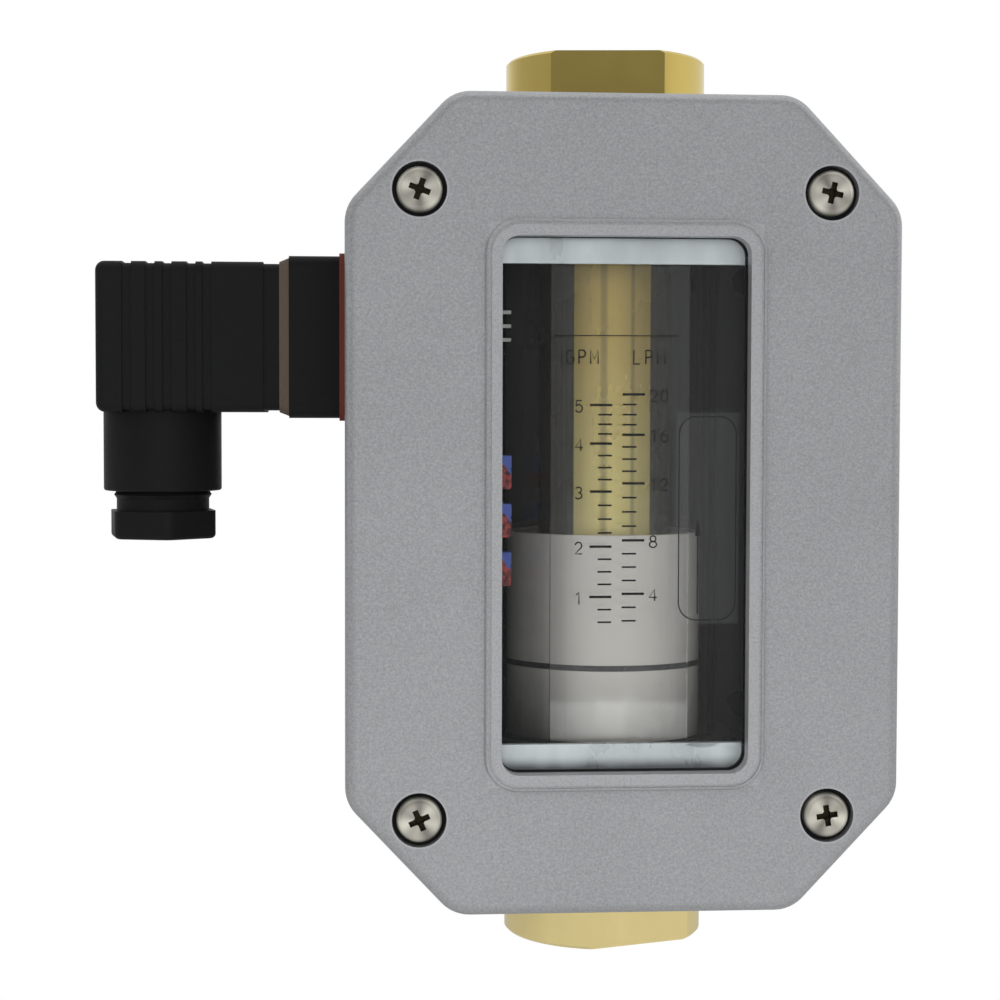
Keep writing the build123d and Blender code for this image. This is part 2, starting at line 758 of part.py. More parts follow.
def make_connector_base():
    wall_x = enclosure_left
    flange_right = wall_x - wall_gasket_thickness
    flange_left = flange_right - base_length
    gasket = side_slab(square(wall_gasket_size, 2.0), wall_x, flange_right)
    gasket -= rod_x(spigot_radius + spigot_gap, wall_x - 5, wall_x + 5, 0, connector_height)
    base = side_slab(square(base_size, 2.0), flange_right, flange_left)
    spigot_end = wall_x + housing_wall
    base += rod_x(spigot_radius, flange_right, spigot_end, 0, connector_height)
    base -= side_slab(square(base_size - 9.0, 1.0), flange_left + 3.0, flange_left - 1)
    screw = plug_screw_dia / 2
    base += rod_x(screw + 2.2, flange_left + 3.0, flange_left, 0, connector_height)
    base -= rod_x(screw + slip, spigot_end - 4.0, flange_left - 1, 0, connector_height)
    screws = []
    radius = base_screw_dia / 2
    for y, z in base_screw_places():
        gasket -= rod_x(radius + slip, wall_x - 5, wall_x + 5, y, z)
        base -= rod_x(radius + slip, flange_left - 1, flange_right + 1, y, z)
        base -= rod_x(radius * 1.9, flange_left - 1, flange_left + 2.6, y, z)
        head = rod_x(radius * 1.8, flange_left + 0.2, flange_left + 2.6, y, z)
        screws.append(head + rod_x(radius, flange_left + 2.6, wall_x + housing_wall, y, z))
    blades = []
    for y, z, lies_flat in blade_places():
        left, right = flange_left - blade_reach, spigot_end + blade_tail
        y, z = y * blade_spread, z * blade_spread
        blades.append(side_slab(blade_section(y, z, lies_flat), right, left))
        base -= side_slab(blade_section(y, z, lies_flat, 0.02), right + 1, left)
    return gasket, base, screws, blades


def make_plug():
    right = plug_right()
    left = right - plug_length
    half = plug_size / 2
    base_left = enclosure_left - wall_gasket_thickness - base_length
    wide = Plane(origin=(base_left, 0, connector_height), x_dir=(0, -1, 0), z_dir=(-1, 0, 0))
    near, far = square(plug_size + 1.4, 2.0), square(plug_size, 2.0)
    gasket = loft([wide * near, wide.offset(plug_gasket_thickness) * far])
    gasket -= side_slab(square(base_size - 9.0, 1.0), base_left + 1, right - 1)
    shell = side_slab(square(plug_size, 2.0), right - plug_skirt_length, left)
    shell = fillet(shell.faces().sort_by(Axis.X)[0].edges(), plug_edge_radius * 0.7)
    shell += side_slab(square(plug_size - 2 * plug_skirt_step, 1.8), right, right - plug_skirt_length)
    for start in plug_rib_starts:
        x1 = left + start + plug_rib_width
        band = square(plug_size + 2, 2.0) - square(plug_size - 2 * plug_rib_depth, 1.8)
        shell -= side_slab(band, x1, x1 - plug_rib_width)
    neck_x = left + neck_dia / 2
    bottom = connector_height - half
    neck_end = bottom - neck_length
    neck = rod(neck_dia / 2, neck_end, connector_height, neck_x)
    neck = fillet(neck.edges().filter_by(GeomType.CIRCLE).sort_by(Axis.Z)[0], 0.5)
    shell += neck
    cavity_end = left + plug_wall + 3.0
    shell -= side_slab(square(plug_size - 2 * plug_wall, 1.2), right + 1, cavity_end)
    shell -= rod_x(plug_screw_dia / 2 + 0.2, left - 1, right, 0, connector_height)
    pocket = plug_screw_head_dia / 2 + 0.3
    shell -= rod_x(pocket, left - 1, left + plug_screw_head_height + 0.8, 0, connector_height)
    shell -= rod(gland_thread_radius, neck_end - 1, grommet_top(), neck_x)
    shell -= rod(cable_bore_radius, neck_end, connector_height, neck_x)
    insert_left = cavity_end + 6.0
    insert = side_slab(square(plug_size - 2 * plug_wall - 0.4, 1.0), right, insert_left)
    insert -= rod_x(plug_screw_dia / 2 + 0.2, insert_left - 1, right + 1, 0, connector_height)
    for y, z, lies_flat in blade_places():
        y, z = y * blade_spread, z * blade_spread
        slot = blade_section(y, z, lies_flat, 0.15)
        insert -= side_slab(slot, right + 1, right - blade_reach + plug_gasket_thickness - 1)
        insert -= rod_x(1.6, insert_left - 1, insert_left + 4.0, y, connector_height + z)
    seat_x = left + plug_screw_head_height + 0.8
    seal = rod_x(pocket - slip, seat_x - 0.6, seat_x, 0, connector_height)
    seal -= rod_x(plug_screw_dia / 2 + slip, seat_x - 1, seat_x + 1, 0, connector_height)
    tip = enclosure_left - wall_gasket_thickness - 2.0
    slot_x = seat_x - 0.6 - plug_screw_head_height
    screw = rod_x(plug_screw_dia / 2, seat_x - 0.6, tip, 0, connector_height)
    screw += rod_x(plug_screw_head_dia / 2, slot_x, seat_x - 0.6, 0, connector_height)
    screw -= block(slot_x - 1, slot_x + 1.1, -0.5, 0.5, connector_height - 4, connector_height + 4)
    return gasket, shell, insert, screw, seal


def plug_right():
    return enclosure_left - wall_gasket_thickness - base_length - plug_gasket_thickness


def gland_x():
    return plug_right() - plug_length + neck_dia / 2


def neck_bottom():
    return connector_height - plug_size / 2 - neck_length


def nut_tip():
    return neck_bottom() - gland_open_gap + gland_relief_length + gland_thread_turns * gland_pitch


def grommet_top():
    return nut_tip() + gland_washer_thickness + grommet_length


def make_gland():
    """Pressure nut, washer and grommet that grip a cable; shown slack, with the nut backed out."""
    x = gland_x()
    nut_top = neck_bottom() - gland_open_gap
    thread_start = nut_top + gland_relief_length
    crest = gland_thread_radius - gland_thread_gap
    root = crest - gland_thread_depth
    hexagon = RegularPolygon(gland_hex / 2, 6, major_radius=False, rotation=gland_hex_turn)
    hexagon = fillet(hexagon.vertices(), gland_corner_radius)
    nut = Pos(x, 0, nut_top - gland_hex_height) * extrude(hexagon, gland_hex_height)
    nut = fillet(nut.faces().sort_by(Axis.Z)[0].edges(), gland_edge_radius)
    nut += rod(root, nut_top, nut_tip(), x)
    for k in range(gland_thread_turns):
        z = thread_start + k * gland_pitch
        half = gland_pitch / 2
        flank_up = Pos(x, 0, z + half / 2) * Cone(root, crest, half)
        flank_down = Pos(x, 0, z + half * 1.5) * Cone(crest, root, half)
        nut += flank_up + flank_down
    nut -= rod(cable_bore_radius, nut_top - gland_hex_height - 1, nut_tip() + 1, x)
    washer_top = nut_tip() + gland_washer_thickness
    bore = gland_thread_radius - gland_thread_gap
    washer = ring(bore, cable_bore_radius + 0.4, nut_tip(), washer_top, x)
    grommet = ring(gland_thread_radius - seat_gap, grommet_bore_radius, washer_top, grommet_top(), x)
    return nut, washer, grommet


# Heights of the inner stack, from the inlet up
inlet_spider_z = port_depth
inlet_ring_z = inlet_spider_z + spider_thickness
piston_bottom = inlet_ring_z + retaining_ring_thickness + 2 * slip
outlet_spider_z = barrel_top - outlet_spider_depth
outlet_ring_z = outlet_spider_z + spider_thickness
body_seal_z = fitting_bottom + body_seal_inset


def main():
    os.makedirs("parts", exist_ok=True)
    save("front_cover", make_front_cover())
    save("rear_housing", make_rear_housing())
    save("cover_gasket", make_cover_gasket())
    screws, seals = make_cover_screws()
    save("cover_screws", screws)
    save("cover_screw_seals", seals)
    pane, gasket, retainer, retainer_screws = make_window_parts()
    save("window_pane", pane)
    save("window_gasket", gasket)
    save("window_retainer", retainer)
    save("retainer_screws", retainer_screws)
    save("flow_body", make_flow_body())
    save("outlet_fitting", make_outlet_fitting())
    seal_radius = body_seal_section / 2
    save("body_seal", Pos(0, 0, body_seal_z) * Torus(barrel_radius + slip + seal_radius, seal_radius))
    for name, z0 in (("inlet", enclosure_bottom), ("outlet", enclosure_top - housing_wall)):
        z1 = z0 + housing_wall + port_seal_proud
        seal = ring(port_seal_radius, bar_radius + slip, z0 - port_seal_proud, z1)
        save(name + "_port_seal", seal)
    lower_seat, upper_seat = make_seats()
    save("lower_tube_seat", lower_seat)
    save("upper_tube_seat", upper_seat)
    tube, tube_seals, strip = make_sight_parts()
    save("sight_tube", tube)
    save("tube_seals", tube_seals)
    save("sight_strip", strip)
    core, sleeve_lower, sleeve_upper, line, magnet = make_indicator()
    save("indicator_core", core)
    save("indicator_sleeve_lower", sleeve_lower)
    save("indicator_sleeve_upper", sleeve_upper)
    save("indicator_line", line)
    save("indicator_magnet", magnet)
    piston, piston_magnet, piston_cap = make_piston()
    save("piston", piston)
    save("piston_magnet", piston_magnet)
    save("piston_cap", piston_cap)
    save("metering_cone", make_cone())
    save("inlet_spider", make_spider(inlet_spider_z))
    save("outlet_spider", make_spider(outlet_spider_z))
    save("spider_rings", [make_retaining_ring(inlet_ring_z), make_retaining_ring(outlet_ring_z)])
    save("return_spring", make_spring())
    save("carrier", make_carrier())
    save("carrier_screws", make_carrier_screws())
    sensor_board, chips, transmitter_board, board_screws = make_boards()
    save("sensor_board", sensor_board)
    save("sensor_chips", chips)
    save("transmitter_board", transmitter_board)
    save("board_screws", board_screws)
    trimmers, trimmer_caps = make_trimmers()
    save("trimmers", trimmers)
    save("trimmer_seals", trimmer_caps)
    header, pins = make_header()
    save("header_block", header)
    save("header_pins", pins)
    save("terminal_block", make_terminal_block())
    save("connector_wires", make_connector_wires())
    base_gasket, base, base_screws, blades = make_connector_base()
    save("base_gasket", base_gasket)
    save("connector_base", base)
    save("base_screws", base_screws)
    save("contact_blades", blades)
    plug_gasket, plug, insert, plug_screw, plug_screw_seal = make_plug()
    save("plug_gasket", plug_gasket)
    save("plug_housing", plug)
    save("terminal_insert", insert)
    save("plug_screw", plug_screw)
    save("plug_screw_seal", plug_screw_seal)
    nut, washer, grommet = make_gland()
    save("gland_nut", nut)
    save("gland_washer", washer)
    save("gland_grommet", grommet)


main()
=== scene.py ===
# %% [markdown]
# # Flow transmitter
# A brass flow meter runs up through a grey enclosure with a window. Its shape comes finished from the
# CAD part, so this script only does what CAD can't: it gives every node its finish, prints the scale
# behind the window, makes the round sight tube smooth enough to look through, and builds the studio.

# %% load the frame
import bpy
import bmesh
import math
from mathutils import Matrix, Vector


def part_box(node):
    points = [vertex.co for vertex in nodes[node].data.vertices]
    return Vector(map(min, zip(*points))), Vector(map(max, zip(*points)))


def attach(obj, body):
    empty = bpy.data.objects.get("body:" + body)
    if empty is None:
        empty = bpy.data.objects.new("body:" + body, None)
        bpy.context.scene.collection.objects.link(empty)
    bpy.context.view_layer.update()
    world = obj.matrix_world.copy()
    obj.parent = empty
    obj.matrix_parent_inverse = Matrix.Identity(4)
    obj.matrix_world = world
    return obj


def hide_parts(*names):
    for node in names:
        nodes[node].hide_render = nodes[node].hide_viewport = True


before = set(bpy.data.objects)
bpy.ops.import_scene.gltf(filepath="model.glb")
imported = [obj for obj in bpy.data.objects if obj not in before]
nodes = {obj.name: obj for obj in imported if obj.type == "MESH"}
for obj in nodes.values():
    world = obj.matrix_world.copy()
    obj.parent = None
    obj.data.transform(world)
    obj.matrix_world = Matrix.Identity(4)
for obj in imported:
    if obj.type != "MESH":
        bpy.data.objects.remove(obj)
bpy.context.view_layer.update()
MM = 0.001

# %% [markdown]
# ## Places that the finishes need
# A scale printed on the pane or a sheen that runs round a screw needs to know where these pieces are.
# Reading the boxes of the CAD nodes keeps the looks in place when a size in the part changes.

# %% key places
cover_low, cover_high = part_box("front_cover")
middle_z = (cover_low.z + cover_high.z) / 2
screw_x, screw_z = 36.9 * MM, 56.05 * MM
head_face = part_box("cover_screws")[0].y
pane_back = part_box("window_pane")[1].y
strip_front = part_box("sight_strip")[0].y
tube_low, tube_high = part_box("sight_tube")
tube_radius = (tube_high.x - tube_low.x) / 2
tube_wall = 3.175 * MM
trimmer_low, trimmer_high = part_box("trimmers")
print("pane back at y", round(pane_back / MM, 2), "tube radius", round(tube_radius / MM, 2))

# %% [markdown]
# ## Shader graphs
# Each finish is a node tree. Writing its arithmetic as Python expressions keeps it readable: a Value
# wraps one socket, and an operator on it adds a Math node.


# %% values
class Value:
    """A socket whose operators add Math nodes."""

    def __init__(self, graph, socket):
        self.graph = graph
        self.socket = socket

    def math(self, operation, *others):
        return self.graph.node("ShaderNodeMath", [self, *others], operation=operation)

    def __add__(self, other):
        return self.math("ADD", other)

    def __sub__(self, other):
        return self.math("SUBTRACT", other)

    def __mul__(self, other):
        return self.math("MULTIPLY", other)

    def __rsub__(self, other):
        return self.graph.node("ShaderNodeMath", [other, self], operation="SUBTRACT")

    __radd__ = __add__
    __rmul__ = __mul__

    def rise(self, low, high):
        """Smoothly 0 at low and 1 at high."""
        ends = {"Value": self, "From Min": low, "From Max": high}
        return self.graph.node("ShaderNodeMapRange", ends, interpolation_type="SMOOTHSTEP")

    def band(self, low, high, soft):
        """1 between low and high, with soft edges."""
        return self.rise(low - soft, low + soft) * (1 - self.rise(high - soft, high + soft))


# %% node trees
class Tree:
    """A node tree that makes a node from its type, inputs and settings."""

    def __init__(self, tree):
        self.tree = tree
        tree.nodes.clear()

    def node(self, kind, inputs=(), out=0, **settings):
        made = self.tree.nodes.new(kind)
        for key, value in settings.items():
            setattr(made, key, value)
        pairs = inputs.items() if isinstance(inputs, dict) else enumerate(inputs)
        for key, value in pairs:
            self.feed(made.inputs[key], value)
        return Value(self, made.outputs[out])

    def feed(self, socket, value):
        if isinstance(value, Value):
            self.tree.links.new(value.socket, socket)
        else:
            socket.default_value = value

    def path(self, *kinds):
        """1 on the named kinds of ray."""
        rays = self.node("ShaderNodeLightPath")
        chosen = [Value(self, rays.socket.node.outputs[kind]) for kind in kinds]
        total = chosen[0]
        for ray in chosen[1:]:
            total = total.math("MAXIMUM", ray)
        return total


class Finish(Tree):
    """A material with one Principled shader."""

    def __init__(self, name, color, roughness=0.5, metallic=0.0, **settings):
        self.material = bpy.data.materials.new(name)
        self.material.use_nodes = True
        super().__init__(self.material.node_tree)
        self.color = color
        self.coords = None
        plain = {"Base Color": (*color, 1.0), "Roughness": roughness, "Metallic": metallic}
        plain |= {socket.replace("_", " "): value for socket, value in settings.items()}
        self.surface = self.node("ShaderNodeBsdfPrincipled", plain)
        self.shader = self.surface.socket.node
        self.output = self.tree.nodes.new("ShaderNodeOutputMaterial")
        self.show(self.surface)

    def show(self, surface):
        self.feed(self.output.inputs["Surface"], surface)

    def place(self, axis=None):
        """Object coordinates, or one axis of them, in metres."""
        if self.coords is None:
            self.coords = self.node("ShaderNodeTexCoord", out="Object")
        if axis is None:
            return self.coords
        return self.node("ShaderNodeSeparateXYZ", [self.coords], out=axis)

    def noise(self, scale, detail=2.0, stretch=(1, 1, 1), roughness=0.5):
        """Noise from 0 to 1, with scale in features per metre."""
        point = self.node("ShaderNodeMapping", {"Vector": self.place(), "Scale": stretch})
        settings = {"Vector": point, "Scale": scale, "Detail": detail, "Roughness": roughness}
        return self.node("ShaderNodeTexNoise", settings)

    def mix(self, amount, first, second):
        mixer = self.node("ShaderNodeMix", {0: amount}, out=2, data_type="RGBA")
        self.feed(mixer.socket.node.inputs[6], first)
        self.feed(mixer.socket.node.inputs[7], second)
        return mixer

    def tint(self, amount, low, high):
        """The plain colour times a factor that runs from low to high."""
        dark, light = ((*[c * k for c in self.color], 1.0) for k in (low, high))
        return self.mix(amount, dark, light)

    def set(self, **values):
        for socket, value in values.items():
            self.feed(self.shader.inputs[socket.replace("_", " ")], value)

    def bump(self, height, strength, distance):
        settings = {"Height": height, "Strength": strength, "Distance": distance}
        self.set(Normal=self.node("ShaderNodeBump", settings))


def dress(finish, *piece_names):
    """Give CAD nodes or new pieces a finish."""
    for name in piece_names:
        piece = nodes.get(name) or bpy.data.objects[name]
        piece.data.materials.clear()
        piece.data.materials.append(finish.material)


# %% [markdown]
# ## Painted enclosure
# The castings carry a silver-grey paint with metal flakes. Two sizes of noise give its fine speckle
# and slow clouding, and the fine one also gives the bump. Round each screw a painted highlight lights
# the rounded edge of the bore, which needs only the distance from the screw's axis. Painted light makes
# all paint within the raised bezel's outline a little lighter.


# %% paint
def screw_polar(finish):
    """Distance from the axis of the nearest cover screw, and the angle round it."""
    off_x = finish.place("X").math("ABSOLUTE") - screw_x
    off_z = (finish.place("Z") - middle_z).math("ABSOLUTE") - screw_z
    return (off_x * off_x + off_z * off_z).math("SQRT"), off_z.math("ARCTAN2", off_x)


paint_roughness = 0.38
paint = Finish("grey_paint", (0.318, 0.323, 0.333), roughness=paint_roughness, metallic=0.5)
speck = paint.noise(2400, detail=3.0, roughness=0.6)
cloud = paint.noise(45, detail=3.0)
bore_edge, _ = screw_polar(paint)
bore_radius, highlight_width, highlight_soft = 4.85 * MM, 0.35 * MM, 0.08 * MM
# Painted highlight: a thin lighter ring on the rounded edge of each bore.
bore_highlight = bore_edge.band(bore_radius, bore_radius + highlight_width, highlight_soft)
# Painted light: paint within the raised bezel's outline is made a little lighter.
bezel_half_width, bezel_half_height, bezel_soft = 24.8 * MM, 50.6 * MM, 0.3 * MM
off_axis = paint.place("X").math("ABSOLUTE")
off_middle = (paint.place("Z") - middle_z).math("ABSOLUTE")
in_width = 1 - off_axis.rise(bezel_half_width - bezel_soft, bezel_half_width)
bezel = in_width * (1 - off_middle.rise(bezel_half_height - bezel_soft, bezel_half_height))
tone = (speck - 0.5) * 2.2 + (cloud - 0.5) * 0.35 + bore_highlight * 0.8 + bezel * 0.3 + 0.5
paint.set(Base_Color=paint.tint(tone.math("MAXIMUM", 0.0), 0.80, 1.22))
paint.set(Roughness=(speck - 0.5) * 0.25 + paint_roughness)
paint.bump(speck, 0.25, 0.06 * MM)
dress(paint, "front_cover", "rear_housing")

# %% [markdown]
# ## Brass
# The meter body is turned, so very fine rings run round Z: a noise squeezed along Z makes them. Slow
# tarnish changes both colour and roughness, as it does on bare brass. Behind the window the barrel's
# colour holds painted light: a painted reflection on its front, lighter lower down, with two darker
# painted streaks, and painted shade turning its sides almost black.


# %% brass
def brass_finish(name, color, roughness, ring_strength, *piece_names):
    brass = Finish(name, color, roughness=roughness, metallic=1.0)
    rings = brass.noise(900, detail=2.0, stretch=(0.02, 0.02, 6.0))
    tarnish = brass.noise(38, detail=4.0)
    smudge = brass.noise(110, detail=3.0, stretch=(1, 1, 0.3))
    brass.set(Base_Color=brass.tint((tarnish - 0.5) * 1.2 + (smudge - 0.5) * 0.7 + 0.5, 0.80, 1.15))
    brass.set(Roughness=(tarnish - 0.5) * 0.2 + (smudge - 0.5) * 0.15 + roughness)
    brass.bump(rings, ring_strength, 0.03 * MM)
    dress(brass, *piece_names)
    return brass


def paint_barrel_light(brass):
    """Paint light on the barrel within the height of the sight tube: painted shade on its sides, two
    darker painted reflection streaks on its front, and a painted reflection that is brighter lower down.
    """
    bright_middle, bright_half = 0.2 * MM, 7.2 * MM
    across = brass.place("X")
    off_bright = (across - bright_middle).math("ABSOLUTE")
    sides = off_bright.rise(bright_half - 0.3 * MM, bright_half)
    streaks = across.band(-2.2 * MM, -1.0 * MM, 0.4 * MM) + across.band(3.4 * MM, 4.1 * MM, 0.3 * MM)
    seen_height = brass.place("Z").band(tube_low.z, tube_high.z, 0.1 * MM)
    plain = Value(brass, brass.shader.inputs["Base Color"].links[0].from_socket)
    brass.set(Metallic=1 - seen_height * 0.55)
    # Painted reflection: the barrel's front is a brighter gold lower down.
    lower = 1 - brass.place("Z").rise(middle_z - 10 * MM, middle_z + 40 * MM)
    gold_above, gold_below = (0.72, 0.52, 0.125, 1.0), (1.0, 0.86, 0.35, 1.0)
    shade_black = (0.02, 0.017, 0.01, 1.0)
    bright = brass.mix(lower, gold_above, gold_below)
    # Painted shade blackens the sides, and two painted reflection streaks darken the front.
    barrel_painted_light = brass.mix(sides * 0.97 + streaks * 0.42, bright, shade_black)
    brass.set(Base_Color=brass.mix(seen_height, plain, barrel_painted_light))


brass_finish("brass_turned", (0.60, 0.465, 0.135), 0.24, 0.10, "outlet_fitting")
barrel_brass = brass_finish("brass_barrel", (0.90, 0.75, 0.35), 0.26, 0.05, "flow_body", "piston",
                            "piston_cap")
paint_barrel_light(barrel_brass)

# %% [markdown]
# ## Screw heads
# A stainless head is faced on a lathe, so its rings run round the screw's own axis, and the light on
# it breaks into sectors. Sines of the angle paint these sectors into the colour as a painted sheen. The
# cross recess is deep and painted dark as shade, and everything below the head's face near the axis
# belongs to it.

# %% screw steel
steel = Finish("screw_steel", (0.50, 0.48, 0.42), roughness=0.3, metallic=0.65)
ring_radius, angle = screw_polar(steel)
ring_pitch = 0.16 * MM
facing_rings = (ring_radius * (2 * math.pi / ring_pitch)).math("SINE") * 0.5 + 0.5
sheen = (angle * 2.0 + 0.9).math("SINE") * 0.3 + (angle * 5.0 + 0.4).math("SINE") * 0.2 + 0.5
recess_radius, recess_shade_colour = 2.5 * MM, (0.035, 0.028, 0.014, 1.0)
sunk = steel.place("Y").rise(head_face + 0.1 * MM, head_face + 0.5 * MM)
recess = sunk * (1 - ring_radius.rise(recess_radius, recess_radius + 0.2 * MM))
# Painted sheen in sectors, and painted shade in the cross recess.
steel.set(Base_Color=steel.mix(recess, steel.tint(sheen, 0.45, 1.45), recess_shade_colour))
steel.set(Roughness=facing_rings * 0.1 + sheen * 0.06 + recess * 0.3 + 0.26)
steel.bump(facing_rings, 0.35, 0.02 * MM)
dress(steel, "cover_screws")

# %% [markdown]
# ## Other metals
# Springs, small screws, pins and magnets are barely seen, so one cloudy metal with a colour and a
# roughness of its own serves each of them.


# %% plain metals
def plain_metal(name, color, roughness, *piece_names):
    metal = Finish(name, color, roughness=roughness, metallic=1.0)
    cloudy = metal.noise(500, detail=4.0)
    metal.set(Base_Color=metal.tint(cloudy, 0.85, 1.1))
    metal.set(Roughness=(cloudy - 0.5) * 0.3 + roughness)
    metal.bump(cloudy, 0.1, 0.02 * MM)
    dress(metal, *piece_names)


plain_metal("stainless", (0.58, 0.56, 0.54), 0.3, "metering_cone", "inlet_spider", "outlet_spider",
            "spider_rings", "return_spring")
plain_metal("zinc_small", (0.66, 0.68, 0.70), 0.32, "retainer_screws", "board_screws", "base_screws",
            "plug_screw", "gland_washer")
plain_metal("tinned", (0.70, 0.69, 0.66), 0.3, "header_pins", "contact_blades")
plain_metal("black_steel", (0.03, 0.03, 0.03), 0.4, "carrier_screws")
plain_metal("magnet_metal", (0.12, 0.12, 0.13), 0.45, "indicator_magnet", "piston_magnet")

# %% [markdown]
# ## Zinc plate behind the pane
# Only two bands of this plated steel frame show, above and below the meter. It is cloudy, with a few
# long hairline scratches, and it falls into shade towards the rubber at the window's top and bottom.

# %% zinc plate
zinc = Finish("zinc_plate", (0.68, 0.73, 0.745), roughness=0.3, metallic=0.3)
spangle = zinc.noise(160, detail=5.0, stretch=(1, 1, 0.4))
hairline = zinc.noise(420, detail=1.0, stretch=(0.12, 1, 0.9))
scratch = hairline.rise(0.72, 0.76)
height = zinc.place("Z") - middle_z
shade_below = 1 - height.rise(-49.0 * MM, -45.5 * MM)
shade = shade_below + height.rise(47.6 * MM, 48.6 * MM) * 0.5
zinc_tone = (spangle - 0.5) * 1.0 + 0.75 - scratch * 0.4 - shade
zinc.set(Base_Color=zinc.tint(zinc_tone.math("MAXIMUM", 0.0), 0.25, 1.1))
zinc.set(Roughness=(spangle - 0.5) * 0.25 + scratch * 0.15 + 0.3)
zinc.bump(spangle, 0.12, 0.05 * MM)
dress(zinc, "window_retainer")

# %% [markdown]
# ## Rubber, plastics and boards
# Moulded pieces take the fine texture of their mould. A fine noise gives the bump and a little of the
# colour, and a broad one keeps large faces from looking flat.


# %% moulded pieces
def moulded(name, color, roughness, *piece_names, grain=1500, strength=0.2, depth=0.03 * MM, gloss=0.5):
    plastic = Finish(name, color, roughness=roughness, Specular_IOR_Level=gloss)
    fine = plastic.noise(grain, detail=3.0)
    broad = plastic.noise(60, detail=2.0)
    plastic.set(Base_Color=plastic.tint((fine + broad - 1.0) * 0.8 + 0.5, 0.85, 1.15))
    plastic.set(Roughness=(broad - 0.5) * 0.2 + roughness)
    plastic.bump(fine, strength, depth)
    dress(plastic, *piece_names)


moulded("connector_black", (0.0078, 0.0079, 0.0086), 0.5, "plug_housing", "connector_base", "gland_nut",
        strength=0.35, depth=0.05 * MM, gloss=0.1)
moulded("black_rubber", (0.008, 0.008, 0.008), 0.6, "cover_gasket", "cover_screw_seals", "window_gasket",
        "body_seal", "inlet_port_seal", "outlet_port_seal", "tube_seals", "plug_screw_seal",
        "gland_grommet", "connector_wires", gloss=0.2)
moulded("black_plastic", (0.034, 0.034, 0.033), 0.55, "carrier", "lower_tube_seat", "upper_tube_seat",
        "header_block", "terminal_block", "terminal_insert", "sensor_chips")
moulded("line_black", (0.02, 0.02, 0.021), 0.5, "indicator_line", gloss=0.2)
moulded("green_board", (0.015, 0.07, 0.035), 0.4, "sensor_board", "transmitter_board")
moulded("red_rubber", (0.13, 0.028, 0.018), 0.65, "base_gasket", gloss=0.2)
moulded("brown_rubber", (0.08, 0.058, 0.043), 0.65, "plug_gasket", gloss=0.2)

# %% [markdown]
# ## Follower
# The white follower fills the sight tube, deep in the dark housing. Its sides and foot get little light
# there, so its colour falls off towards them, and a faint mottling keeps it from looking like paper.

# %% follower
lit_middle, foot_height = 2.5 * MM, 24 * MM
follower = Finish("white_plastic", (0.70, 0.67, 0.64), roughness=0.4)
beside = (follower.place("X") - lit_middle).math("ABSOLUTE").rise(7 * MM, 17 * MM)
foot = 1 - follower.place("Z").rise(tube_low.z, tube_low.z + foot_height)
mottle = follower.noise(400, detail=3.0)
follower_light = 1 - beside * 0.58 - foot * 0.35 + (mottle - 0.5) * 0.08
follower.set(Base_Color=follower.tint(follower_light, 0.0, 1.0))
follower.bump(mottle, 0.05, 0.03 * MM)
dress(follower, "indicator_core", "indicator_sleeve_lower", "indicator_sleeve_upper")

# %% [markdown]
# ## Trimmers
# Each blue trimmer is locked with a drop of red lacquer that ran down over its adjusting end, so the
# colours meet along a wavy slanting line. The line is worked out once, in the height that repeats
# from trimmer to trimmer, and both nodes wear the same finish.

# %% trimmers
trimmer_pitch, trimmer_height = 8.95 * MM, 6.2 * MM
edge_height, edge_slope, edge_soft = 0.55 * trimmer_height - 0.6 * MM, 1.1, 0.15 * MM
lacquer = Finish("trimmer_and_lacquer", (0.045, 0.085, 0.36), roughness=0.4)
height = (lacquer.place("Z") - trimmer_low.z).math("FLOORED_MODULO", trimmer_pitch)
inward = trimmer_high.x - lacquer.place("X")
wave = (lacquer.noise(700, detail=2.0) - 0.5) * 1.6 * MM
red = (inward * edge_slope + wave + edge_height - height).rise(-edge_soft, edge_soft)
blob = lacquer.noise(900, detail=3.0)
blue_tone = lacquer.tint(blob, 0.85, 1.15)
deep_red, thin_red = (0.04, 0.004, 0.004, 1.0), (0.34, 0.035, 0.035, 1.0)
red_tone = lacquer.mix(blob.rise(0.35, 0.65), deep_red, thin_red)
lacquer.set(Base_Color=lacquer.mix(red, blue_tone, red_tone))
lacquer.bump(blob * red, 0.6, 0.2 * MM)
dress(lacquer, "trimmers", "trimmer_seals")

# %% [markdown]
# ## Clear parts
# The pane is thin, so a mix of transparent and gloss serves it, with a trace of haze. The sight tube
# and the flat strip before it bend light and need real refraction, but a shadow or diffuse ray goes
# straight through, or the follower inside would stay dark. The strip's front face is slightly hazy.


# %% clear finishes
haze_grey = (0.6, 0.6, 0.6, 1.0)


def thin_clear(name, tint, gloss, *piece_names):
    glass = Finish(name, tint, roughness=0.03, IOR=1.5)
    through = glass.node("ShaderNodeBsdfTransparent", {"Color": (*tint, 1.0)})
    facing = glass.node("ShaderNodeLayerWeight", {"Blend": 0.2})
    clear = glass.node("ShaderNodeMixShader", [facing * gloss, through, glass.surface])
    haze = glass.node("ShaderNodeBsdfDiffuse", {"Color": haze_grey})
    haze_share = glass.place("X").rise(-10 * MM, 22 * MM) * 0.009 + 0.006
    glass.show(glass.node("ShaderNodeMixShader", [haze_share, clear, haze]))
    dress(glass, *piece_names)


